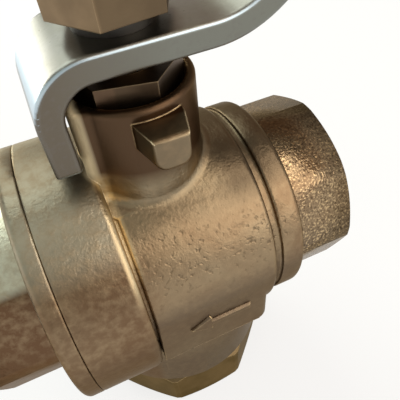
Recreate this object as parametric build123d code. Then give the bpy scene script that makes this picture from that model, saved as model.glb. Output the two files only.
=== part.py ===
"""Brass ball valve with a magnetic filter cartridge inside its ball, made for G 1 pipe threads.

Millimetres. The origin is the centre of the filter cap's flat bottom, +X runs along the flow
axis towards the cast threaded end, and +Z runs up along the stem. The pieces are drawn about
the point where the two axes cross and are raised to their height when they are written.
"""
import os
from math import sqrt

from build123d import *

# Clearances
RUN = 0.05  # radial, a shaft or ball in its bearing
SLIP = 0.1  # radial, pieces pushed or screwed into one another
LOOSE = 0.8  # radial, the cartridge in the ball and in the boss

# Threaded pipe ends
FLATS = 41.0  # across the flats of both octagons
CORNER_R = 21.6  # turned radius that trims their corners
END_CHAMFER = 2.2
THREAD_R = 15.15  # minor radius of the pipe thread
THREAD_LENGTH = 17.0
MOUTH_CHAMFER = 1.2

# Outside of the casting along the flow axis, from the stem axis outwards
MID_R = 25.0
MID_REACH = 18.6  # stem axis to the end of the middle barrel
GROOVE_WIDTH = 1.8
GROOVE_DEPTH = 0.9
GROOVE_ROUND = 0.4
RING_WIDTH = 5.5
RING_STEP = 1.0  # ring below the middle barrel
INLET_LENGTH = 14.7  # cast octagon
STEP_REACH = 10.6  # stem axis to the step up to the shoulder
STEP_RELIEF = 0.7  # width and depth of the crevice at the step
SHOULDER_R = 29.2
SHOULDER_LENGTH = 13.6
COLLAR_WIDTH = 3.8
OUTLET_LENGTH = 15.8  # octagon of the screwed-in connector
EDGE_ROUND = 1.4

# Bonnet, stop lug, cheeks and filter boss of the casting
BONNET_R = 12.0
BONNET_TOP = 42.6  # above the flow axis
BONNET_FILLET = 2.2
RIM_ROUND = 1.0
RIB_R = 2.3  # upright stop rib that the lever's tab rests beside
RIB_REACH = 11.2  # stem axis to its centre
RIB_TURN = 210.0  # degrees about the stem axis
RIB_BLEND = 2.6  # must stay above the bonnet's fillet
CUP_R = 10.5
CUP_DEPTH = 5.1
LUG_WIDTH = 6.0  # at its front face
LUG_ROOT = 9.0  # width at the bonnet
LUG_OFFSET = 1.3
LUG_REACH = 17.9  # stem axis to its front face
LUG_HEIGHT = 6.4
LUG_DROP = 2.0  # below the bonnet's rim
LUG_ROUND = 1.0
LUG_HEEL = 2.2  # rounding of its lower corners
CHEEK_DROP = 16.6  # flat sides below the flow axis
CHEEK_INSET = 0.1
CHEEK_ROUND = 3.0
BOSS_R = 24.1
BOSS_DROP = 34.8
BOSS_ROUND = 0.8
CAP_THREAD_R = 17.0
CAP_THREAD_LENGTH = 6.8

# Ball, seats and connector
BALL_R = 19.0
BALL_WALL = 6.5  # ball radius less the flow bore
CHAMBER_GAP = 0.6
SEAT_WALL = 4.0
SEAT_LENGTH = 5.0
SEAT_BACK = 1.4  # behind the ball's port edge
SEAT_STAND = 0.3  # seat proud of its pocket
CONNECTOR_WALL = 3.4  # chamber to connector thread
CONNECTOR_THREAD_LENGTH = 9.7
GASKET = 0.8
BALL_SLOT_DEPTH = 4.0
CEILING_SHORT = 0.5  # top of the cartridge bore below the flow bore's

# Stem and its packing
STEM_R = 5.5
STEM_FLATS = 8.6
TANG_WIDTH = 5.9
TANG_LENGTH = 14.0
FLANGE_R = 8.2
FLANGE = 2.5
FLANGE_LIFT = 0.7  # flange above the ball
THRUST = 0.8
NECK_LENGTH = 4.5
PACKING_R = 8.2
PACKING = 2.5  # height of one ring
GLAND_FLATS = 17.6
GLAND_TURN = -14.5  # degrees, where it came to rest
GLAND_LIFT = 2.9  # hexagon above the bonnet's rim
GLAND_SEAT = 0.4  # hexagon above the cup's floor

# Lever and its nut
LEVER_LIFT = 5.4  # underside above the bonnet's rim
SHEET = 4.5
LEVER_WIDTH = 20.0
TAB_GAP = 0.5  # tab to bonnet
TAB_LENGTH = 17.0
TAB_BEND = 8.0
ARM_START = 19.0  # stem axis to the rise
ARM_RUN = 26.0
ARM_RISE = 20.0
ARM_BEND = 18.0
LEVER_REACH = 135.0
SHEET_ROUND = 0.7
WASHER = 2.4
WASHER_R = 7.0
NUT_FLATS = 18.0
NUT_TURN = 6.5  # degrees, where it came to rest
NUT_HEIGHT = 12.0
STEM_SHORT = 1.2  # stem end below the nut's top

# Filter cap and cartridge
CAP_FLATS = 45.4
CAP_TURN = 22.5  # degrees, where it came to rest
CAP_CORNER_R = 24.3
CAP_HEIGHT = 15.7  # octagon below the boss
CAP_CHAMFER = 1.8
SPIGOT_SHORT = 0.5
RING_SECTION = 1.1  # radius of the cap's O-ring
RING_SEAT = 3.0  # boss face to the O-ring
CARTRIDGE_SHORT = 2.3  # cartridge radius below the flow bore's
CAGE_WALL = 1.3
CAGE_FOOT = 4.0
CAGE_HEAD = 2.2
CAGE_RIBS = 4
RIB_WIDTH = 2.4
CAGE_GAP = 1.0  # cage to the ball's ceiling
MESH_WALL = 0.4
MAGNET_R = 4.0
MAGNET_LENGTH = 26.0
SLEEVE_WALL = 0.8
SLEEVE_ROOT = 3.0  # sleeve set into the cap

# Places that follow from the sizes above
AXIS_Z = BOSS_DROP + CAP_HEIGHT
RING_R = MID_R - RING_STEP
GROOVE_END = MID_REACH + GROOVE_WIDTH
RING_END = GROOVE_END + RING_WIDTH
INLET_END = RING_END + INLET_LENGTH
BODY_FACE = -STEP_REACH - SHOULDER_LENGTH
COLLAR_END = BODY_FACE - COLLAR_WIDTH
OUTLET_END = COLLAR_END - OUTLET_LENGTH
BORE_R = BALL_R - BALL_WALL
CHAMBER_R = BALL_R + CHAMBER_GAP
CONNECTOR_THREAD_R = CHAMBER_R + CONNECTOR_WALL
SEAT_R = BORE_R + SEAT_WALL
SEAT_END = sqrt(BALL_R**2 - BORE_R**2) + SEAT_BACK
SEAT_START = SEAT_END - SEAT_LENGTH
POCKET_START = SEAT_START + SEAT_STAND
SCREW_STOP = BODY_FACE + CONNECTOR_THREAD_LENGTH
CARTRIDGE_R = BORE_R - CARTRIDGE_SHORT
CHANNEL_R = CARTRIDGE_R + LOOSE
FLANGE_Z = BALL_R + FLANGE_LIFT
THRUST_Z = FLANGE_Z + FLANGE
NECK_Z = THRUST_Z + THRUST
PACKING_Z = NECK_Z + NECK_LENGTH
GLAND_Z = PACKING_Z + 2 * PACKING
CUP_Z = BONNET_TOP - CUP_DEPTH
LEVER_Z = BONNET_TOP + LEVER_LIFT
WASHER_Z = LEVER_Z + SHEET
NUT_Z = WASHER_Z + WASHER
STEM_TOP = NUT_Z + NUT_HEIGHT - STEM_SHORT
TAB_X = BONNET_R + TAB_GAP + SHEET / 2
SPIGOT_Z = -BOSS_DROP + CAP_THREAD_LENGTH - SPIGOT_SHORT
BALL_CEILING = BORE_R - CEILING_SHORT
CAGE_TOP = BALL_CEILING - CAGE_GAP


def outline(points, rounds=()):
    """Closed flat outline; rounds are (corner, radius) pairs."""
    face = make_face(Polyline(*points, close=True))
    for corner, radius in rounds:
        face = fillet(face.vertices().sort_by_distance(corner)[0], radius)
    return face


def turned_x(points, rounds=()):
    """Solid turned about the flow axis from (x, radius) points."""
    return revolve(outline(points, rounds), Axis.X)


def turned_z(points, rounds=()):
    """Solid turned about the stem axis from (radius, z) points."""
    return revolve(Plane.XZ * outline(points, rounds), Axis.Z)


def tube_x(outer, inner, start, end):
    return turned_x([(start, inner), (start, outer), (end, outer), (end, inner)])


def tube_z(outer, inner, bottom, top):
    return turned_z([(inner, bottom), (outer, bottom), (outer, top), (inner, top)])


def rod_x(radius, start, end):
    return tube_x(radius, 0, start, end)


def rod_z(radius, bottom, top):
    return tube_z(radius, 0, bottom, top)


def prism(flats, sides, bottom, top):
    """Upright wrench prism with two corners on the flow axis."""
    plan = RegularPolygon(flats / 2, sides, major_radius=False)
    return extrude(Plane.XY.offset(bottom) * plan, top - bottom)


def two_flats(radius, flats, bottom, top):
    """Round bar along Z with two flats that face along the flow axis."""
    slab = Pos(0, 0, (bottom + top) / 2) * Box(flats, 2 * radius, top - bottom)
    return rod_z(radius, bottom, top) & slab


def octagon_end(root, end):
    """Wrench octagon along X with corners on the Y and Z axes, chamfered at its open end."""
    length = abs(end - root)
    back = 1 if end > root else -1
    plan = RegularPolygon(FLATS / 2, 8, major_radius=False)
    flats = extrude(Plane.YZ.offset(min(root, end)) * plan, length)
    turned = turned_x([
        (root, 0), (root, CORNER_R), (end - back * END_CHAMFER / 2, CORNER_R),
        (end, CORNER_R - END_CHAMFER), (end, 0),
    ])
    return flats & turned


def pipe_thread(end):
    """Bore of a female pipe thread with its mouth chamfer, open at end."""
    back = 1 if end > 0 else -1
    return turned_x([
        (end - back * THREAD_LENGTH, 0), (end - back * THREAD_LENGTH, THREAD_R),
        (end - back * MOUTH_CHAMFER, THREAD_R), (end, THREAD_R + MOUTH_CHAMFER), (end, 0),
    ])


def barrel():
    """Turned outside of the casting from the connector face to the octagon."""
    groove_r = RING_R - GROOVE_DEPTH
    relief_r = MID_R - STEP_RELIEF
    return turned_x(
        [
            (BODY_FACE, 0), (BODY_FACE, SHOULDER_R), (-STEP_REACH, SHOULDER_R), (-STEP_REACH, relief_r),
            (-STEP_REACH + STEP_RELIEF, relief_r), (-STEP_REACH + STEP_RELIEF, MID_R), (MID_REACH, MID_R),
            (MID_REACH, groove_r), (GROOVE_END, groove_r), (GROOVE_END, RING_R), (RING_END, RING_R),
            (RING_END, 0),
        ],
        [
            ((BODY_FACE, SHOULDER_R), EDGE_ROUND / 4), ((-STEP_REACH, SHOULDER_R), EDGE_ROUND),
            ((-STEP_REACH + STEP_RELIEF, MID_R), STEP_RELIEF * 0.9), ((MID_REACH, MID_R), EDGE_ROUND),
            ((MID_REACH, groove_r), GROOVE_ROUND), ((GROOVE_END, groove_r), GROOVE_ROUND),
            ((GROOVE_END, RING_R), GROOVE_ROUND), ((RING_END, RING_R), EDGE_ROUND),
        ],
    )


def bonnet():
    """Upright cup for the stem packing with a stop rib, blended into the barrel below it."""
    rib_axis = Rot(0, 0, RIB_TURN) * Pos(RIB_REACH, 0, 0)
    post = rod_z(BONNET_R, 0, BONNET_TOP) + rib_axis * rod_z(RIB_R, 0, BONNET_TOP)
    post = fillet(post.edges().filter_by(Axis.Z), RIB_BLEND)
    post = fillet(post.edges().group_by(Axis.Z)[-1], RIM_ROUND)
    saddle = rod_x(MID_R, -MID_REACH + GROOVE_WIDTH, MID_REACH - GROOVE_WIDTH)
    joined = saddle + post
    curves = joined.edges().filter_by(GeomType.BSPLINE).filter_by_position(Axis.Z, MID_R / 2, MID_R)
    blended = fillet(curves, BONNET_FILLET)
    keep = rod_z(RIB_REACH + RIB_R + BONNET_FILLET, 0, BONNET_TOP)
    return blended & keep


def stop_lug():
    """Cast stop on the front of the bonnet, tapered to its front face, with a rounded underside."""
    top = BONNET_TOP - LUG_DROP
    plan = outline([
        (-LUG_WIDTH / 2, -LUG_REACH), (LUG_WIDTH / 2, -LUG_REACH), (LUG_ROOT / 2, -BONNET_R),
        (LUG_ROOT / 2, 0), (-LUG_ROOT / 2, 0), (-LUG_ROOT / 2, -BONNET_R),
    ])
    block = extrude(Pos(LUG_OFFSET, 0, top - LUG_HEIGHT) * plan, LUG_HEIGHT)
    outer = block.edges().filter_by_position(Axis.Y, -LUG_REACH + 0.1, -BONNET_R - 0.1)
    block = fillet(outer.group_by(Axis.Z)[0], LUG_HEEL)
    front = block.edges().filter_by_position(Axis.Y, -LUG_REACH - 0.1, -LUG_REACH + 0.1)
    return fillet(front, LUG_ROUND)


def cheeks():
    """Flat sides that carry the barrel down to the boss."""
    start = -STEP_REACH + STEP_RELIEF
    length = MID_REACH - EDGE_ROUND - start
    plan = Rectangle(length, 2 * (MID_R - CHEEK_INSET))
    plan = fillet(plan.vertices().group_by(Axis.X)[-1], CHEEK_ROUND)
    block = extrude(Pos(start + length / 2, 0, -CHEEK_DROP) * plan, CHEEK_DROP)
    return fillet(block.edges().group_by(Axis.Z)[0], EDGE_ROUND)


def boss():
    """Round boss for the filter cap, cut flat where the connector's collar passes it."""
    whole = turned_z(
        [(0, -BOSS_DROP), (BOSS_R, -BOSS_DROP), (BOSS_R, 0), (0, 0)],
        [((BOSS_R, -BOSS_DROP), BOSS_ROUND)],
    )
    room = Pos(BODY_FACE + 2 * BOSS_R, 0, -BOSS_DROP / 2) * Box(4 * BOSS_R, 4 * BOSS_R, 2 * BOSS_DROP)
    return whole & room


def valve_body():
    outside = barrel() + octagon_end(RING_END, INLET_END) + bonnet() + stop_lug() + cheeks() + boss()
    flow = rod_x(CHAMBER_R, SCREW_STOP, POCKET_START) + rod_x(SEAT_R + SLIP, POCKET_START, SEAT_END)
    flow += rod_x(BORE_R, SEAT_END, INLET_END - THREAD_LENGTH) + pipe_thread(INLET_END)
    flow += rod_x(CONNECTOR_THREAD_R, BODY_FACE, SCREW_STOP)
    below = rod_z(CHANNEL_R, -BOSS_DROP, 0) + rod_z(CAP_THREAD_R, -BOSS_DROP, -BOSS_DROP + CAP_THREAD_LENGTH)
    above = rod_z(FLANGE_R + SLIP, 0, NECK_Z) + rod_z(STEM_R + RUN, 0, BONNET_TOP)
    above += rod_z(PACKING_R, PACKING_Z, BONNET_TOP) + rod_z(CUP_R, CUP_Z, BONNET_TOP)
    return outside - flow - below - above


def end_connector():
    """Screwed-in end that closes the ball chamber."""
    collar = turned_x(
        [(COLLAR_END, 0), (COLLAR_END, SHOULDER_R), (BODY_FACE, SHOULDER_R), (BODY_FACE, 0)],
        [((COLLAR_END, SHOULDER_R), EDGE_ROUND), ((BODY_FACE, SHOULDER_R), EDGE_ROUND / 4)],
    )
    thread_end = SCREW_STOP - GASKET
    spigot = rod_x(CONNECTOR_THREAD_R - SLIP, BODY_FACE, thread_end)
    pilot = rod_x(CHAMBER_R - SLIP, thread_end, -POCKET_START)
    solid = octagon_end(COLLAR_END, OUTLET_END) + collar + spigot + pilot
    flow = rod_x(SEAT_R + SLIP, -SEAT_END, -POCKET_START) + pipe_thread(OUTLET_END)
    flow += rod_x(BORE_R, OUTLET_END + THREAD_LENGTH, -SEAT_END)
    return solid - flow


def connector_gasket():
    return tube_x(CONNECTOR_THREAD_R - SLIP, CHAMBER_R, SCREW_STOP - GASKET, SCREW_STOP)


def seat_ring(side):
    """Ball seat; side is 1 at the cast end and -1 at the connector."""
    start, end = side * SEAT_START, side * SEAT_END
    section = outline([(start, BORE_R), (start, SEAT_R), (end, SEAT_R), (end, BORE_R)])
    return revolve(section - Circle(BALL_R + SLIP), Axis.X)


def ball():
    """Hollow ball: a flow bore across it and a bore from below for the cartridge."""
    slot = Pos(0, 0, BALL_R - BALL_SLOT_DEPTH / 2) * Box(2 * BALL_R, TANG_WIDTH + 2 * RUN, BALL_SLOT_DEPTH)
    return Sphere(BALL_R) - rod_x(BORE_R, -BALL_R, BALL_R) - rod_z(CHANNEL_R, -BALL_R, BALL_CEILING) - slot


def stem():
    tang_z = BALL_R - BALL_SLOT_DEPTH + SLIP
    tang = Pos(0, 0, (tang_z + FLANGE_Z) / 2) * Box(TANG_LENGTH, TANG_WIDTH, FLANGE_Z - tang_z)
    shaft = rod_z(FLANGE_R, FLANGE_Z, THRUST_Z) + rod_z(STEM_R, THRUST_Z, LEVER_Z)
    return tang + shaft + two_flats(STEM_R, STEM_FLATS, LEVER_Z, STEM_TOP)


def thrust_washer():
    return tube_z(FLANGE_R, STEM_R + RUN, THRUST_Z, NECK_Z)


def packing_ring(index):
    bottom = PACKING_Z + index * PACKING
    return tube_z(PACKING_R - RUN, STEM_R + RUN, bottom, bottom + PACKING)


def gland_nut():
    """Hexagon in the cup that screws down on the packing."""
    head = CUP_Z + GLAND_SEAT
    hexagon = Rot(0, 0, GLAND_TURN) * prism(GLAND_FLATS, 6, head, BONNET_TOP + GLAND_LIFT)
    solid = rod_z(PACKING_R - SLIP, GLAND_Z, head) + hexagon
    return solid - rod_z(STEM_R + SLIP, GLAND_Z, BONNET_TOP + GLAND_LIFT)


def bent_strip(points, bend):
    """Sheet with rounded edges, bent along (x, z) points."""
    path = Plane.XZ * FilletPolyline(*points, radius=bend)
    start = Plane(path @ 0, x_dir=(0, 1, 0), z_dir=path % 0)
    section = RectangleRounded(LEVER_WIDTH, SHEET, SHEET_ROUND)
    return sweep(start * section, path=path)


def lever():
    """Pressed lever: hub, tab bent down behind it, and an arm that rises and levels out."""
    middle = LEVER_Z + SHEET / 2
    tab = bent_strip([(-TAB_X, middle - TAB_LENGTH), (-TAB_X, middle), (0, middle)], TAB_BEND)
    arm = bent_strip(
        [(0, middle), (ARM_START, middle), (ARM_START + ARM_RUN, middle + ARM_RISE),
         (LEVER_REACH, middle + ARM_RISE)],
        ARM_BEND,
    )
    end_r = LEVER_WIDTH / 2
    plan = Rectangle(2 * (LEVER_REACH - end_r), LEVER_WIDTH + SHEET)
    plan += Pos(LEVER_REACH - end_r, 0) * Circle(end_r)
    trimmed = (tab + arm) & extrude(plan, middle + ARM_RISE + SHEET)
    return trimmed - two_flats(STEM_R + RUN, STEM_FLATS + 2 * RUN, LEVER_Z - 1, WASHER_Z + 1)


def lever_washer():
    return tube_z(WASHER_R, STEM_R + SLIP, WASHER_Z, NUT_Z)


def lever_nut():
    top = NUT_Z + NUT_HEIGHT
    corner = NUT_FLATS / sqrt(3)
    turned = turned_z([
        (STEM_R + RUN, NUT_Z), (corner, NUT_Z), (corner, top - (corner - NUT_FLATS / 2)),
        (NUT_FLATS / 2, top), (STEM_R + RUN, top),
    ])
    return Rot(0, 0, NUT_TURN) * prism(NUT_FLATS, 6, NUT_Z, top) & turned


def filter_cap():
    """Screwed cap under the boss with a spigot that carries the cartridge."""
    face_r = CAP_CORNER_R - CAP_CHAMFER
    head = Rot(0, 0, CAP_TURN) * prism(CAP_FLATS, 8, -AXIS_Z, -BOSS_DROP) & turned_z([
        (0, -AXIS_Z), (face_r, -AXIS_Z), (CAP_CORNER_R, -AXIS_Z + CAP_CHAMFER),
        (CAP_CORNER_R, -BOSS_DROP - CAP_CHAMFER), (face_r, -BOSS_DROP), (0, -BOSS_DROP),
    ])
    spigot = rod_z(CAP_THREAD_R - SLIP, -BOSS_DROP, SPIGOT_Z)
    ring_z = -BOSS_DROP + RING_SEAT
    groove_r = CAP_THREAD_R - SLIP - 2 * RING_SECTION
    groove = tube_z(CAP_THREAD_R, groove_r, ring_z - RING_SECTION, ring_z + RING_SECTION)
    socket = rod_z(MAGNET_R + SLEEVE_WALL + RUN, SPIGOT_Z - SLEEVE_ROOT, SPIGOT_Z)
    return head + spigot - groove - socket


def cap_o_ring():
    path_r = CAP_THREAD_R - SLIP - RING_SECTION
    return Pos(0, 0, -BOSS_DROP + RING_SEAT) * Torus(path_r, RING_SECTION)


def magnet_sleeve():
    """Closed tube that keeps the magnet out of the water."""
    bottom = SPIGOT_Z - SLEEVE_ROOT
    outer = MAGNET_R + SLEEVE_WALL
    top = bottom + MAGNET_LENGTH + SLEEVE_WALL + SLIP
    return rod_z(outer, bottom, top) - rod_z(MAGNET_R + RUN, bottom, top - SLEEVE_WALL)


def magnet():
    bottom = SPIGOT_Z - SLEEVE_ROOT
    return rod_z(MAGNET_R, bottom, bottom + MAGNET_LENGTH)


def filter_cage():
    """Foot and head rings of the cartridge with ribs between them."""
    inner = CARTRIDGE_R - CAGE_WALL
    cage = tube_z(CARTRIDGE_R, inner, SPIGOT_Z, SPIGOT_Z + CAGE_FOOT)
    cage += tube_z(CARTRIDGE_R, inner, CAGE_TOP - CAGE_HEAD, CAGE_TOP)
    wall = tube_z(CARTRIDGE_R, inner, SPIGOT_Z, CAGE_TOP)
    height = CAGE_TOP - SPIGOT_Z
    for turn in range(CAGE_RIBS):
        side = Rot(0, 0, 45 + 360 / CAGE_RIBS * turn) * Pos(CARTRIDGE_R / 2, 0, SPIGOT_Z + height / 2)
        cage += side * Box(CARTRIDGE_R, RIB_WIDTH, height) & wall
    return cage


def filter_mesh():
    outer = CARTRIDGE_R - CAGE_WALL - RUN
    return tube_z(outer, outer - MESH_WALL, SPIGOT_Z, CAGE_TOP)


PIECES = {
    "valve_body": valve_body(),
    "end_connector": end_connector(),
    "connector_gasket": connector_gasket(),
    "seat_ring_inlet": seat_ring(1),
    "seat_ring_outlet": seat_ring(-1),
    "ball": ball(),
    "stem": stem(),
    "thrust_washer": thrust_washer(),
    "packing_ring_lower": packing_ring(0),
    "packing_ring_upper": packing_ring(1),
    "gland_nut": gland_nut(),
    "lever": lever(),
    "lever_washer": lever_washer(),
    "lever_nut": lever_nut(),
    "filter_cap": filter_cap(),
    "cap_o_ring": cap_o_ring(),
    "magnet_sleeve": magnet_sleeve(),
    "magnet": magnet(),
    "filter_cage": filter_cage(),
    "filter_mesh": filter_mesh(),
}

os.makedirs("parts", exist_ok=True)
for name, piece in PIECES.items():
    export_step(Pos(0, 0, AXIS_Z) * piece, f"parts/{name}.step")
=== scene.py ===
"""Looks of a brass ball valve with a magnetic filter cartridge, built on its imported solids.

Metres, in the frame of the solids: the origin is under the filter cap, +X runs along the flow
axis towards the cast end, and +Z runs up along the stem.
"""
import math

import bmesh
import bpy
from mathutils import Matrix, Quaternion, Vector


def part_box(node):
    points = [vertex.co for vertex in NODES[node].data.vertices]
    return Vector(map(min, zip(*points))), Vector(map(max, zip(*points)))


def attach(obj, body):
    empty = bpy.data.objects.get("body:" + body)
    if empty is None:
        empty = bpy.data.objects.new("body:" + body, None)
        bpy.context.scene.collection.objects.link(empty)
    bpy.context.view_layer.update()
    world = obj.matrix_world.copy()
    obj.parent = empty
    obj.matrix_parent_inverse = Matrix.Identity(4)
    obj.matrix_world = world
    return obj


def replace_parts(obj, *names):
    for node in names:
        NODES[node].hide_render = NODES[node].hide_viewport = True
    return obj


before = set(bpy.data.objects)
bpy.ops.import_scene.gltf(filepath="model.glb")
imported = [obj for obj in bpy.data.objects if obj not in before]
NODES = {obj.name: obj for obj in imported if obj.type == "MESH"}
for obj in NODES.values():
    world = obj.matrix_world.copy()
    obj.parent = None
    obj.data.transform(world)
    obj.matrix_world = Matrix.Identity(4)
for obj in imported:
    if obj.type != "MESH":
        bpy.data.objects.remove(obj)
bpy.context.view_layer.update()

MM = 0.001
AXIS_Z = 50.5  # mm, flow axis above the floor

# Female pipe threads, mm
THREAD_MINOR = 15.15
THREAD_DEPTH = 1.15
THREAD_PITCH = 2.309
THREAD_LENGTH = 17.0
MOUTH_CHAMFER = 1.2
INLET_FACE = 40.6
OUTLET_FACE = 43.8

# Camera of the photograph
CAMERA_PLACE = (-0.01329, -0.06696, 0.13288)
CAMERA_RIGHT = (0.90890, -0.41156, -0.06722)
CAMERA_UP = (0.34662, 0.65597, 0.67050)
CAMERA_LENS = 39.09
SENSOR = 36.0

LAMP_AIM = (0.0, 0.0, 0.062)
FLOOR_GLOW = 0.75  # share of plain white in the floor that is seen


class Wire:
    """A socket of a node tree that takes part in Python arithmetic."""

    def __init__(self, bench, socket):
        self.bench = bench
        self.socket = socket

    def __add__(self, other):
        return self.bench.math("ADD", self, other)

    __radd__ = __add__

    def __sub__(self, other):
        return self.bench.math("SUBTRACT", self, other)

    def __rsub__(self, other):
        return self.bench.math("SUBTRACT", other, self)

    def __mul__(self, other):
        return self.bench.math("MULTIPLY", self, other)

    __rmul__ = __mul__

    def __truediv__(self, other):
        return self.bench.math("DIVIDE", self, other)

    def __abs__(self):
        return self.bench.math("ABSOLUTE", self)

    def limited(self):
        """The value kept between 0 and 1."""
        return self.bench.math("ADD", self, 0.0, clamp=True)

    def above(self, low, high):
        """0 below low, 1 above high, straight between them."""
        return ((self - low) / (high - low)).limited()

    def past(self, place, blur):
        """0 before a place and 1 after it, over a blur centred on it."""
        return self.above(place - blur / 2, place + blur / 2)


class Bench:
    """A node tree, with one way of adding nodes to it."""

    def __init__(self, tree):
        self.tree = tree

    def feed(self, socket, value):
        """Link a wire, or every wire of a list, to a socket, or set its plain value."""
        if isinstance(value, list):
            for each in value:
                self.feed(socket, each)
        elif isinstance(value, Wire):
            self.tree.links.new(value.socket, socket)
        else:
            socket.default_value = value

    def add(self, kind, settings=None, inputs=None, output=0):
        node = self.tree.nodes.new(kind)
        for name, value in (settings or {}).items():
            setattr(node, name, value)
        for key, value in (inputs or {}).items():
            self.feed(node.inputs[key], value)
        return Wire(self, node.outputs[output]) if node.outputs else node

    def math(self, operation, *operands, clamp=False):
        settings = {"operation": operation, "use_clamp": clamp}
        return self.add("ShaderNodeMath", settings, dict(enumerate(operands)))

    def vector_math(self, operation, *operands, output=0):
        return self.add("ShaderNodeVectorMath", {"operation": operation}, dict(enumerate(operands)), output)

    def part(self, vector, axis):
        """One coordinate of a vector."""
        return self.add("ShaderNodeSeparateXYZ", None, {0: vector}, axis)

    def mix(self, factor, first, second):
        """Colour between first and second."""
        first, second = (each if isinstance(each, Wire) else (*each, 1.0) for each in (first, second))
        return self.add("ShaderNodeMix", {"data_type": "RGBA"}, {0: factor, 6: first, 7: second}, 2)


class Finish(Bench):
    """A procedural material on Object coordinates, counted in millimetres."""

    def __init__(self, name):
        self.material = bpy.data.materials.new(name)
        self.material.use_nodes = True
        super().__init__(self.material.node_tree)
        self.shader = self.tree.nodes["Principled BSDF"]
        place = self.add("ShaderNodeTexCoord", output="Object")
        self.place = self.stretched(place, (1 / MM, 1 / MM, 1 / MM))

    def stretched(self, vector, scale):
        return self.vector_math("MULTIPLY", vector, scale)

    def along(self, axis):
        """One coordinate of the surface point, mm."""
        return self.part(self.place, axis)

    def noise(self, size, detail=3.0, roughness=0.55, place=None):
        """Noise from 0 to 1 with patches of about that size in mm."""
        sockets = {"Vector": place or self.place, "Scale": 1 / size, "Detail": detail}
        return self.add("ShaderNodeTexNoise", None, {**sockets, "Roughness": roughness}, "Fac")

    def coats(self, colour, *layers):
        """Colour under layers of (mask, colour), the last one outermost."""
        for mask, layer in layers:
            colour = self.mix(mask, colour, layer)
        return colour

    def edges(self, width):
        """Rounded normal for the edges, and a mask that is 1 on them."""
        rounded = self.add("ShaderNodeBevel", {"samples": 6}, {"Radius": width * MM})
        straight = self.add("ShaderNodeNewGeometry", output="Normal")
        agreement = self.vector_math("DOT_PRODUCT", rounded, straight, output="Value")
        return rounded, (1 - agreement).above(0.006, 0.16)

    def crevices(self, depth):
        """1 in grooves and inner corners."""
        settings = {"samples": 8, "only_local": True}
        open_share = self.add("ShaderNodeAmbientOcclusion", settings, {"Distance": depth * MM}, "AO")
        return (1 - open_share).above(0.15, 0.75)

    def bump(self, height, depth, normal=None):
        """Normal of a surface with that height, depth mm from 0 to 1."""
        sockets = {"Height": height, "Distance": depth * MM}
        if normal:
            sockets["Normal"] = normal
        return self.add("ShaderNodeBump", None, sockets)

    def done(self, **sockets):
        """The material, with wires and plain values on the shader's own sockets."""
        for name, value in sockets.items():
            self.feed(self.shader.inputs[name.replace("_", " ")], value)
        return self.material


class Casting(Finish):
    """Brass of the casting, with a mask for each of its zones; levels count from the flow axis."""

    def __init__(self):
        super().__init__("cast_brass")
        along, across = self.along("X"), self.along("Y")
        level = self.along("Z") - AXIS_Z
        rib_x, rib_y, step_x = -9.7, -5.6, -10.4
        rib_dx, rib_dy = along - rib_x, across - rib_y
        from_rib = self.math("SQRT", rib_dx * rib_dx + rib_dy * rib_dy)
        self.octagon = along.past(26.0, 1.2)  # the cast one
        self.bonnet = level.past(28.0, 4.0)
        self.lug = level.past(33.0, 2.0) * (1 - across.past(-12.55, 0.7))
        self.rib = self.bonnet * (1 - from_rib.past(2.55, 1.3)) * (1 - along.past(-10.35, 1.3))
        self.under = 1 - level.past(4.0, 6.0)  # lower half
        self.boss = 1 - level.past(-21.0, 6.0)
        self.saddle = level.past(19.75, 4.5)  # top of the barrel, round the bonnet's foot
        self.crown = along.past(11.5, 5.0) * level.past(19.5, 3.0)  # top of ring and octagon
        self.far_end = 1 - along.past(-11.5, 1.8)  # shoulder, collar and connector
        self.connector = 1 - along.past(-28.0, 0.8)
        self.shoulder = self.far_end * level.past(23.0, 8.0)
        self.facet = self.connector * level.past(15.7, 1.4)  # upper one of the connector
        self.step = (1 - abs(along - step_x).past(1.3, 1.0)) * level.past(14.5, 5.0) * (1 - self.bonnet)
        self.belly = level.past(6.5, 5.0) * (1 - level.past(18.0, 4.0)) * (1 - self.far_end)


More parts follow.
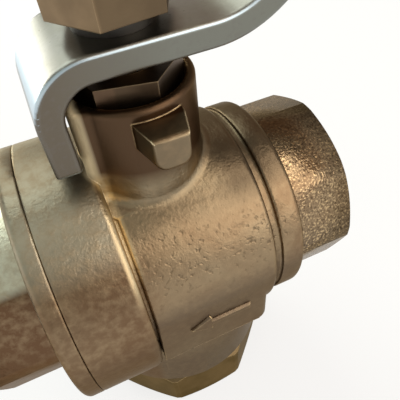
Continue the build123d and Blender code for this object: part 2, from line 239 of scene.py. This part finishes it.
def cast_brass():
    """Shot-blasted casting: coarse grain with painted glints on the octagon, painted shade over the bonnet,
    a painted highlight on the stop rib, and painted light and shade by zone.
    """
    f = Casting()
    broad = f.noise(17.0, 2.0)
    mottle = f.noise(1.7, 3.0, 0.6)
    grain = f.noise(0.45, 1.0, 0.5)
    coarse = f.noise(0.5, 1.0, 0.5)
    dented = broad.above(0.36, 0.56) * (0.25 + 0.75 * f.belly) * (1 - f.bonnet)
    dents = f.noise(1.05, 1.5, 0.5).above(0.56, 0.74) * dented
    rounded, edge = f.edges(0.45)
    crevice = f.crevices(1.4)
    sand = f.mix(broad.above(0.36, 0.66), (0.235, 0.154, 0.089), (0.30, 0.224, 0.138))
    # Painted light and shade by zone: a paler, greener painted reflection on top of the barrel round the
    # bonnet's foot, painted shade on the lower half and the boss, a darker red-brown painted reflection on
    # the far end, a pale painted reflection on the shoulder and the connector's upper facet, and lighter
    # mottle that is weaker on the lower half.
    cast = f.coats(
        sand,
        (f.saddle * 0.5, (0.25, 0.222, 0.15)),
        (f.under * 0.6 + f.boss * 0.2, (0.112, 0.09, 0.073)),
        (f.far_end * 0.55 + f.connector * 0.4, (0.135, 0.075, 0.042)),
        ((f.shoulder * 0.65 + f.facet * 0.9).limited(), (0.70, 0.68, 0.54)),
        (mottle.above(0.42, 0.7) * (0.5 - 0.35 * f.under), (0.36, 0.266, 0.162)),
    )
    # Painted shade: a dark crown on the ring and octagon, and dark brown over the bonnet, less on its lug;
    # dark grains between the octagon's glints.
    grained_and_painted_shade = f.coats(
        cast,
        (f.crown * 0.8, (0.10, 0.073, 0.048)),
        (f.bonnet * (0.95 - 0.65 * f.lug), (0.082, 0.047, 0.027)),
        (f.octagon * (1 - coarse.above(0.34, 0.44)) * 0.6, (0.06, 0.038, 0.024)),
    )
    # Bright grains on the octagon are painted glints, fewer on its crown; the edges are worn brighter; the
    # step, the stop rib and the lug's edges carry painted highlights.
    worn_and_painted_highlights = f.coats(
        grained_and_painted_shade,
        (f.octagon * coarse.above(0.57, 0.65) * (0.7 - 0.6 * f.crown), (0.66, 0.48, 0.27)),
        (edge * (0.3 + 0.7 * mottle.above(0.35, 0.6)), (0.53, 0.39, 0.22)),
        (f.step * 0.8, (0.70, 0.56, 0.34)),
        ((f.rib + f.lug * edge).limited(), (1.0, 0.84, 0.55)),
    )
    # Painted shade in crevices, stronger on the lower half, and darker dents.
    crevice_shade_and_dents = (crevice * (0.1 + 0.5 * f.under) + dents * 0.4).limited()
    colour = f.mix(crevice_shade_and_dents, worn_and_painted_highlights, (0.045, 0.03, 0.02))
    skin = grain * (0.3 - 0.2 * f.bonnet) + mottle * (0.9 - 0.65 * f.bonnet - 0.5 * f.octagon)
    relief = skin + coarse * (f.octagon * 0.55 + f.rib * 0.8) - dents * 0.8
    rough = 0.30 + 0.12 * mottle - 0.14 * f.octagon + 0.2 * crevice - 0.06 * edge + 0.2 * f.rib
    # The stop rib is made less metallic so that its painted highlight reads pale.
    return f.done(
        Base_Color=colour, Roughness=rough, Metallic=1 - 0.9 * f.rib,
        Specular_Tint=(0.60, 0.54, 0.46, 1.0), Normal=f.bump(relief, 0.1, rounded),
    )


def cap_brass():
    """Bar brass of the filter cap, coloured darker than the casting as painted shade."""
    f = Finish("cap_brass")
    broad = f.noise(9.0, 3.0)
    fine = f.noise(0.5, 3.0)
    rounded, edge = f.edges(0.4)
    crevice = f.crevices(1.2)
    # Painted shade: the cap's body is coloured darker than the casting, and darker still in crevices.
    body = f.mix(broad.above(0.35, 0.65), (0.125, 0.086, 0.043), (0.19, 0.131, 0.066))
    colour = f.coats(body, (edge * 0.8, (0.58, 0.41, 0.20)), (crevice * 0.6, (0.04, 0.028, 0.02)))
    rough = 0.34 + 0.16 * broad - 0.1 * edge
    return f.done(
        Base_Color=colour, Roughness=rough, Metallic=1.0,
        Specular_Tint=(0.50, 0.46, 0.39, 1.0), Normal=f.bump(fine, 0.03, rounded),
    )


def turned_brass(name, dull, bright):
    """Machined brass of stem and nuts, with faint tool lines across the axis, painted shade on one side and
    in crevices.
    """
    f = Finish(name)
    broad = f.noise(6.0, 3.0)
    lines = f.noise(1.0, 2.0, 0.5, f.stretched(f.place, (0.12, 0.12, 5.0)))
    rounded, edge = f.edges(0.3)
    crevice = f.crevices(1.0)
    # Painted shade on the side towards +X.
    painted_shade_side = f.along("X").past(-4.0, 0.6)
    colour = f.coats(
        f.mix(broad.above(0.36, 0.64), dull, bright),
        (painted_shade_side * 0.55, (0.075, 0.055, 0.035)),
        (edge * 0.5, (0.50, 0.37, 0.22)),
        # Painted shade in crevices.
        (crevice * 0.7, (0.03, 0.02, 0.015)),
    )
    rough = 0.26 + 0.1 * broad + 0.1 * lines
    return f.done(Base_Color=colour, Roughness=rough, Metallic=1.0, Normal=f.bump(lines, 0.012, rounded))


def lever_steel():
    """Zinc-plated pressed steel, drawn along the lever; the sheared sides are duller, most at the tab; the
    edges and the sloping brow carry a painted pale blue highlight.
    """
    f = Finish("lever_steel")
    tint = f.noise(11.0, 3.0)
    drawn = f.noise(0.9, 3.0, 0.6, f.stretched(f.place, (0.08, 1.6, 1.6)))
    specks = f.noise(0.8, 2.0, 0.5)
    rounded, edge = f.edges(0.8)
    upward = f.part(f.add("ShaderNodeNewGeometry", output="True Normal"), "Z")
    side = 1 - abs(upward).above(0.2, 0.6)
    # Painted highlight: surfaces that slope between top and side.
    painted_highlight_brow = upward.above(0.15, 0.35) * (1 - upward.above(0.62, 0.76))
    plated = f.mix(tint.above(0.36, 0.64), (0.225, 0.215, 0.18), (0.26, 0.247, 0.225))
    sheared = f.mix(f.along("X").past(-4.0, 20.0), (0.15, 0.128, 0.10), (0.20, 0.203, 0.175))
    colour = f.coats(
        f.mix(side, plated, sheared),
        (specks.above(0.54, 0.74) * 0.3, (0.17, 0.153, 0.142)),
        # Painted pale blue highlight on the edges and the brow.
        ((edge * 0.75 + painted_highlight_brow).limited(), (0.52, 0.63, 0.71)),
    )
    rough = 0.22 + 0.1 * drawn + 0.06 * specks
    normal = f.bump(drawn * 0.6 + specks * 0.4, 0.02, rounded)
    return f.done(Base_Color=colour, Roughness=rough, Metallic=1.0, Normal=normal)


def spring_steel():
    """Dark oiled steel of the washer under the nut, darkened further as painted shade of the gap."""
    f = Finish("spring_steel")
    cloud = f.noise(2.0, 3.0)
    turned = f.noise(0.5, 2.0, 0.5, f.stretched(f.place, (0.3, 0.3, 4.0)))
    rounded, edge = f.edges(0.2)
    # The dark body colour is partly painted shade in the gap under the nut.
    body = f.mix(cloud, (0.05, 0.046, 0.042), (0.085, 0.08, 0.075))
    worn = f.mix(edge * 0.5, body, (0.22, 0.21, 0.20))
    rough = 0.34 + 0.16 * cloud
    return f.done(Base_Color=worn, Roughness=rough, Metallic=1.0, Normal=f.bump(turned, 0.01, rounded))


def plated_ball():
    """Polished chrome-plated ball with hairline wear rings from the seats."""
    f = Finish("plated_ball")
    rings = f.noise(0.7, 2.0, 0.5, f.stretched(f.place, (4.0, 0.2, 0.2)))
    haze = f.noise(5.0, 3.0)
    body = f.mix(haze, (0.70, 0.70, 0.71), (0.80, 0.80, 0.80))
    rough = 0.06 + 0.1 * rings.above(0.55, 0.7) + 0.06 * haze
    return f.done(Base_Color=body, Roughness=rough, Metallic=1.0, Normal=f.bump(rings, 0.003))


def white_seal():
    """Sintered white seat and packing material, slightly waxy."""
    f = Finish("white_seal")
    cloud = f.noise(3.0, 3.0)
    fine = f.noise(0.3, 2.0)
    body = f.mix(cloud, (0.80, 0.80, 0.77), (0.88, 0.88, 0.85))
    return f.done(Base_Color=body, Roughness=0.38 + 0.14 * fine, Metallic=0.0, Normal=f.bump(fine, 0.01))


def black_rubber():
    """Matt black ring rubber with a trace of bloom."""
    f = Finish("black_rubber")
    bloom = f.noise(2.2, 3.0)
    fine = f.noise(0.25, 2.0)
    body = f.mix(bloom.above(0.5, 0.75), (0.018, 0.018, 0.019), (0.045, 0.045, 0.044))
    return f.done(Base_Color=body, Roughness=0.5 + 0.2 * bloom, Metallic=0.0, Normal=f.bump(fine, 0.012))


def stainless(name, grain):
    """Drawn stainless of the magnet sleeve and the filter wire; grain stretches its lines."""
    f = Finish(name)
    drawn = f.noise(0.6, 3.0, 0.6, f.stretched(f.place, grain))
    haze = f.noise(4.0, 2.0)
    body = f.mix(haze, (0.52, 0.52, 0.51), (0.64, 0.64, 0.63))
    rough = 0.24 + 0.16 * drawn
    return f.done(Base_Color=body, Roughness=rough, Metallic=1.0, Normal=f.bump(drawn, 0.008))


def magnet_plating():
    """Grey plated magnet with a fine pressed grain."""
    f = Finish("magnet_plating")
    grain = f.noise(0.4, 3.0)
    haze = f.noise(3.0, 2.0)
    body = f.mix(haze, (0.28, 0.28, 0.29), (0.40, 0.40, 0.41))
    rough = 0.34 + 0.16 * grain
    return f.done(Base_Color=body, Roughness=rough, Metallic=0.9, Normal=f.bump(grain, 0.015))


def cage_plastic():
    """Moulded dark plastic of the filter cage with a spark-eroded skin."""
    f = Finish("cage_plastic")
    skin = f.noise(0.35, 3.0)
    cloud = f.noise(4.0, 2.0)
    rounded, edge = f.edges(0.25)
    body = f.mix(cloud, (0.055, 0.055, 0.06), (0.085, 0.085, 0.09))
    scuffed = f.mix(edge * 0.5, body, (0.17, 0.17, 0.175))
    rough = 0.46 + 0.16 * skin
    return f.done(Base_Color=scuffed, Roughness=rough, Metallic=0.0, Normal=f.bump(skin, 0.02, rounded))


class Pattern(Bench):
    """A Geometry Nodes tree with named sizes."""

    def __init__(self, name, sizes):
        super().__init__(bpy.data.node_groups.new(name, "GeometryNodeTree"))
        face = self.tree.interface
        self.sizes = sizes
        self.sockets = {}
        for size, value in sizes.items():
            kind = "NodeSocketInt" if isinstance(value, int) else "NodeSocketFloat"
            self.sockets[size] = face.new_socket(name=size, in_out="INPUT", socket_type=kind)
        face.new_socket(name="Geometry", in_out="OUTPUT", socket_type="NodeSocketGeometry")

    def size(self, name):
        return self.add("NodeGroupInput", output=name)

    def point(self, x=0.0, y=0.0, z=0.0):
        return self.add("ShaderNodeCombineXYZ", None, {0: x, 1: y, 2: z})

    def circle(self, radius, resolution):
        sockets = {"Resolution": resolution, "Radius": radius}
        return self.add("GeometryNodeCurvePrimitiveCircle", {"mode": "RADIUS"}, sockets)

    def line(self, start, end):
        return self.add("GeometryNodeCurvePrimitiveLine", None, {"Start": start, "End": end})

    def tube(self, path, section, caps=False):
        sockets = {"Curve": path, "Profile Curve": section, "Fill Caps": caps}
        return self.add("GeometryNodeCurveToMesh", None, sockets)

    def copies(self, points, shape):
        return self.add("GeometryNodeInstanceOnPoints", None, {"Points": points, "Instance": shape})

    def mesh(self, geometry, material):
        """Plain mesh of the tree's result in that material."""
        whole = self.add("GeometryNodeRealizeInstances", None, {0: geometry})
        clothed = self.add("GeometryNodeSetMaterial", None, {"Geometry": whole, "Material": material})
        self.add("NodeGroupOutput", None, {0: clothed})
        carrier = bpy.data.objects.new("carrier", bpy.data.meshes.new("carrier"))
        bpy.context.scene.collection.objects.link(carrier)
        modifier = carrier.modifiers.new("pattern", "NODES")
        modifier.node_group = self.tree
        for size, socket in self.sockets.items():
            modifier[socket.identifier] = self.sizes[size]
        graph = bpy.context.evaluated_depsgraph_get()
        made = bpy.data.meshes.new_from_object(carrier.evaluated_get(graph), depsgraph=graph)
        bpy.data.objects.remove(carrier)
        return made


def thread_sleeve(name, face, material):
    """Wall of a female thread that runs out at its inner end and opens in the mouth's chamfer."""
    rows_per_turn = 8
    flank, crest = 1.33, 0.167  # they cut a triangle wave to flat crests and roots
    run_out_turns = 1.5
    turns = math.ceil(THREAD_LENGTH / THREAD_PITCH) + 1
    p = Pattern(name, {
        "Face": face * MM, "Length": THREAD_LENGTH * MM, "Minor radius": THREAD_MINOR * MM,
        "Depth": THREAD_DEPTH * MM, "Pitch": THREAD_PITCH * MM, "Chamfer": MOUTH_CHAMFER * MM,
        "Turns": turns, "Columns": 97, "Rows": turns * rows_per_turn + 1,
    })
    start = p.size("Face") - p.size("Length")
    grid = p.add("GeometryNodeMeshGrid", None, {
        "Size X": 1.0, "Size Y": 1.0, "Vertices X": p.size("Columns"), "Vertices Y": p.size("Rows"),
    })
    place = p.add("GeometryNodeInputPosition")
    turn = p.part(place, "X") + 0.5
    step = (p.part(place, "Y") + 0.5) * p.size("Turns") - 1
    free = start + (step + turn) * p.size("Pitch")
    along = p.math("MINIMUM", p.math("MAXIMUM", free, start), p.size("Face"))
    ridge = abs(p.math("FRACT", step) * 2 - 1)
    depth = ((1 - ridge) * flank - crest).limited()
    run_out = ((along - start) / (p.size("Pitch") * run_out_turns)).limited()
    cut = p.size("Minor radius") + p.size("Depth") * depth * run_out
    cone = p.size("Minor radius") + along - (p.size("Face") - p.size("Chamfer"))
    radius = p.math("MAXIMUM", cut, cone)
    angle = turn * math.tau
    moved = p.point(along, radius * p.math("COSINE", angle), radius * p.math("SINE", angle))
    wall = p.add("GeometryNodeSetPosition", None, {"Geometry": grid, "Position": moved})
    sewn = p.add("GeometryNodeMergeByDistance", None, {"Geometry": wall, "Distance": 1e-6})
    inward = p.add("GeometryNodeFlipFaces", None, {0: sewn})
    return p.mesh(inward, material)


def weave(name, material, radius, bottom, top):
    """Woven wire sleeve: upright wires on a circle and rings up the height."""
    p = Pattern(name, {
        "Radius": radius * MM, "Bottom": bottom * MM, "Height": (top - bottom) * MM,
        "Wire": 0.17 * MM, "Uprights": 64, "Rings": 44,
    })
    foot = p.point(0.0, 0.0, p.size("Bottom"))
    head = p.point(0.0, 0.0, p.size("Bottom") + p.size("Height"))
    section = p.circle(p.size("Wire"), 5)
    upright = p.tube(p.line(foot, head), section)
    feet = p.add("GeometryNodeMeshCircle", None, {
        "Vertices": p.size("Uprights"), "Radius": p.size("Radius"),
    })
    ring = p.tube(p.circle(p.size("Radius"), 64), section)
    ladder = p.add("GeometryNodeMeshLine", {"mode": "END_POINTS"}, {
        "Count": p.size("Rings"), "Start Location": foot, "Offset": head,
    })
    both = p.add("GeometryNodeJoinGeometry", None, {0: [p.copies(feet, upright), p.copies(ladder, ring)]})
    return p.mesh(both, material)


def new_piece(name, mesh, body):
    """A finished piece that moves with a body."""
    piece = bpy.data.objects.new(name, mesh)
    bpy.context.scene.collection.objects.link(piece)
    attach(piece, body)
    return piece


def smooth(mesh, angle):
    """Smooth shading that stays sharp over edges steeper than the angle."""
    mesh.shade_smooth()
    mesh.set_sharp_from_angle(angle=math.radians(angle))


def without_bore(node, face, side):
    """Copy of a node's mesh, merged, without the plain wall of its threaded bore."""
    bm = bmesh.new()
    bm.from_mesh(NODES[node].data)
    bmesh.ops.remove_doubles(bm, verts=bm.verts, dist=1e-6)
    slack = 0.02
    inner, mouth = face - THREAD_LENGTH, THREAD_MINOR + MOUTH_CHAMFER

    def on_wall(vert):
        x, y, z = (value / MM for value in vert.co)
        radius = math.hypot(y, z - AXIS_Z)
        return inner - slack < x * side < face + slack and THREAD_MINOR - slack < radius < mouth + slack

    wall = [each for each in bm.faces if all(on_wall(vert) for vert in each.verts)]
    bmesh.ops.delete(bm, geom=wall, context="FACES")
    return bm


def threaded(node, piece_name, face, side, material):
    """Node with a real thread in its bore; side is 1 for the cast end and -1 for the connector."""
    sleeve = thread_sleeve(f"{piece_name}_thread", face, material)
    turn = Matrix.Rotation(0.0 if side > 0 else math.pi, 4, "Z")
    sleeve.transform(Matrix.Translation((0, 0, AXIS_Z * MM)) @ turn)
    bm = without_bore(node, face, side)
    bm.from_mesh(sleeve)
    mesh = bpy.data.meshes.new(piece_name)
    bm.to_mesh(mesh)
    bm.free()
    bpy.data.meshes.remove(sleeve)
    mesh.materials.clear()
    mesh.materials.append(material)
    mesh.polygons.foreach_set("material_index", [0] * len(mesh.polygons))
    smooth(mesh, 16.0)
    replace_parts(new_piece(piece_name, mesh, "valve"), node)


def flow_arrow(material):
    """Raised cast arrow on the front cheek that points along the flow."""
    wall, proud, sunk, slope = -24.9, 0.55, 0.3, 0.35
    axis = AXIS_Z - 6.5
    tip, neck, tail, head, shaft = -3.1, 1.7, 11.7, 2.75, 0.95
    lower = [(neck, -head), (neck, -shaft), (tail, -shaft)]
    outline = [(tip, 0), *lower, *((x, -z) for x, z in reversed(lower))]
    middle = sum(x for x, _ in outline) / len(outline)
    bm = bmesh.new()
    loops = []
    for depth, inset in ((wall + sunk, 0.0), (wall, 0.0), (wall - proud, slope)):
        loop = []
        for x, z in outline:
            pull_x = math.copysign(inset, x - middle)
            pull_z = math.copysign(min(inset, abs(z)), z)
            loop.append(bm.verts.new(((x - pull_x) * MM, depth * MM, (axis + z - pull_z) * MM)))
        loops.append(loop)
    for low, high in zip(loops, loops[1:]):
        for i in range(len(low)):
            j = (i + 1) % len(low)
            bm.faces.new((low[i], low[j], high[j], high[i]))
    bm.faces.new(loops[-1])
    bm.faces.new(list(reversed(loops[0])))
    bmesh.ops.recalc_face_normals(bm, faces=bm.faces)
    bmesh.ops.triangulate(bm, faces=[each for each in bm.faces if len(each.verts) > 4])
    mesh = bpy.data.meshes.new("flow_arrow")
    bm.to_mesh(mesh)
    bm.free()
    mesh.materials.append(material)
    new_piece("flow_arrow", mesh, "valve")


def trim_line(material):
    """Uneven ridge where the casting's flash was trimmed off, under the front cheek."""
    p = Pattern("trim_line", {
        "Left": -9.0 * MM, "Right": 14.6 * MM, "Wall": -24.52 * MM, "Level": (AXIS_Z - 16.14) * MM,
        "Thickness": 0.2 * MM, "Unevenness": 0.16 * MM, "Points": 90,
    })
    ends = [p.point(p.size(end), p.size("Wall"), p.size("Level")) for end in ("Left", "Right")]
    points = p.add("GeometryNodeResampleCurve", None, {"Curve": p.line(*ends), "Count": p.size("Points")})
    waver = p.add("ShaderNodeTexNoise", None, {"Scale": 900.0, "Detail": 2.0}, "Color")
    centred = p.vector_math("SUBTRACT", waver, (0.5, 0.5, 0.5))
    offset = p.add("ShaderNodeVectorMath", {"operation": "SCALE"}, {
        0: centred, "Scale": p.size("Unevenness"),
    })
    bent = p.add("GeometryNodeSetPosition", None, {"Geometry": points, "Offset": offset})
    swell = p.add("ShaderNodeTexNoise", None, {"Scale": 420.0, "Detail": 1.0}, "Fac")
    uneven = p.add("GeometryNodeSetCurveRadius", None, {"Curve": bent, "Radius": swell.above(0.25, 0.75)})
    mesh = p.mesh(p.tube(uneven, p.circle(p.size("Thickness"), 6), caps=True), material)
    smooth(mesh, 60.0)
    new_piece("trim_line", mesh, "valve")


def dress(material, *names):
    """Put one material on carried-over nodes."""
    for name in names:
        mesh = NODES[name].data
        mesh.materials.clear()
        mesh.materials.append(material)


def dress_nodes():
    dress(turned_brass("turned_brass", (0.195, 0.135, 0.078), (0.255, 0.178, 0.103)), "stem", "lever_nut")
    # The gland nut's darker brass is painted shade under the lever.
    dress(turned_brass("gland_brass", (0.105, 0.066, 0.042), (0.14, 0.09, 0.056)), "gland_nut")
    dress(cap_brass(), "filter_cap")
    dress(lever_steel(), "lever")
    dress(spring_steel(), "lever_washer")
    dress(plated_ball(), "ball")
    seals = ("connector_gasket", "seat_ring_inlet", "seat_ring_outlet", "thrust_washer",
             "packing_ring_lower", "packing_ring_upper")
    dress(white_seal(), *seals)
    dress(black_rubber(), "cap_o_ring")
    dress(stainless("sleeve_steel", (1.0, 1.0, 0.06)), "magnet_sleeve")
    dress(magnet_plating(), "magnet")
    dress(cage_plastic(), "filter_cage")


def build_pieces():
    brass = cast_brass()
    threaded("valve_body", "cast_body", INLET_FACE, 1, brass)
    threaded("end_connector", "cast_connector", OUTLET_FACE, -1, brass)
    flow_arrow(brass)
    trim_line(brass)
    low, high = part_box("filter_mesh")
    inset = 0.2  # mm, the wires' middle inside the plain sleeve
    wire = stainless("mesh_wire", (1.0, 1.0, 1.0))
    cloth = weave("filter_weave", wire, high.x / MM - inset, low.z / MM + inset, high.z / MM - inset)
    smooth(cloth, 60.0)
    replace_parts(new_piece("filter_weave", cloth, "cartridge"), "filter_mesh")


def camera():
    right, up = Vector(CAMERA_RIGHT).normalized(), Vector(CAMERA_UP).normalized()
    back = right.cross(up)
    turn = Matrix((right, up, back)).transposed().to_4x4()
    lens = bpy.data.cameras.new("camera")
    lens.sensor_width = SENSOR
    lens.lens = CAMERA_LENS
    lens.clip_start = 0.002
    lens.clip_end = 20.0
    eye = bpy.data.objects.new("camera", lens)
    eye.matrix_world = Matrix.Translation(CAMERA_PLACE) @ turn
    bpy.context.scene.collection.objects.link(eye)
    bpy.context.scene.camera = eye


def softbox(name, azimuth, elevation, distance, size, radiance, colour, roll=0.0):
    """Area lamp that faces the valve; azimuth 0 is the front and 90 the cast end's side."""
    turn, rise = math.radians(azimuth), math.radians(elevation)
    way = Vector((math.sin(turn) * math.cos(rise), -math.cos(turn) * math.cos(rise), math.sin(rise)))
    lamp = bpy.data.lights.new(name, "AREA")
    lamp.shape = "RECTANGLE"
    lamp.size, lamp.size_y = size
    lamp.energy = radiance * math.pi * size[0] * size[1]
    lamp.color = colour
    stand = bpy.data.objects.new(name, lamp)
    stand.location = Vector(LAMP_AIM) + way * distance
    rolled = way.to_track_quat("Z", "Y") @ Quaternion((0, 0, 1), math.radians(roll))
    stand.rotation_euler = rolled.to_euler()
    bpy.context.scene.collection.objects.link(stand)


def lights():
    """Azimuth, elevation, distance, size, radiance and colour of each lamp, and its roll."""
    softbox("front_softbox", 40, 32, 0.8, (0.85, 0.82), 2.0, (1.0, 0.95, 0.86))
    softbox("side_strip", 65, 60, 0.8, (0.19, 0.34), 3.0, (1.0, 0.93, 0.80), roll=22)
    softbox("skylight", -168, 48, 0.8, (0.62, 0.62), 2.5, (0.88, 1.0, 0.93))
    softbox("left_window", -152, 7, 0.7, (0.40, 0.26), 5.0, (0.97, 1.0, 0.92))


def surroundings():
    """Pale walls, palest at the connector's side, under a ceiling that is browner towards the cast end."""
    world = bpy.data.worlds.new("studio")
    bpy.context.scene.world = world
    world.use_nodes = True
    b = Bench(world.node_tree)
    way = b.add("ShaderNodeTexCoord", output="Generated")
    side, rise = b.part(way, "X"), b.part(way, "Z")
    ceiling = b.mix(side.above(-0.35, 0.3), (0.52, 0.55, 0.50), (0.35, 0.225, 0.145))
    walls = b.mix(side.above(-0.7, -0.2), (1.0, 0.96, 0.88), (0.62, 0.60, 0.57))
    shade = b.mix(rise.above(0.2, 0.5), walls, ceiling)
    b.feed(b.tree.nodes["Background"].inputs["Color"], shade)


def pale_paper():
    """Floor material that reads white and keeps a soft shadow."""
    material = bpy.data.materials.new("pale_floor")
    material.use_nodes = True
    b = Bench(material.node_tree)
    paper = b.tree.nodes["Principled BSDF"]
    paper.inputs["Base Color"].default_value = (0.92, 0.92, 0.915, 1.0)
    paper.inputs["Roughness"].default_value = 0.8
    kinds = ("Is Camera Ray", "Is Glossy Ray", "Is Transmission Ray")
    camera_ray, glossy_ray, transmission_ray = (b.add("ShaderNodeLightPath", output=kind) for kind in kinds)
    seen = (camera_ray + glossy_ray + transmission_ray).limited()
    glow = b.add("ShaderNodeEmission", None, {"Color": (1.0, 1.0, 1.0, 1.0), "Strength": 1.0})
    lit = Wire(b, paper.outputs[0])
    mixed = b.add("ShaderNodeMixShader", None, {0: seen * FLOOR_GLOW, 1: lit, 2: glow})
    b.feed(b.tree.nodes["Material Output"].inputs["Surface"], mixed)
    return material


def floor():
    bm = bmesh.new()
    bmesh.ops.create_circle(bm, cap_ends=True, radius=4.0, segments=64)
    mesh = bpy.data.meshes.new("floor")
    bm.to_mesh(mesh)
    bm.free()
    mesh.materials.append(pale_paper())
    ground = bpy.data.objects.new("floor", mesh)
    bpy.context.scene.collection.objects.link(ground)


bpy.context.scene.view_settings.view_transform = "Standard"
camera()
lights()
surroundings()
floor()
dress_nodes()
build_pieces()
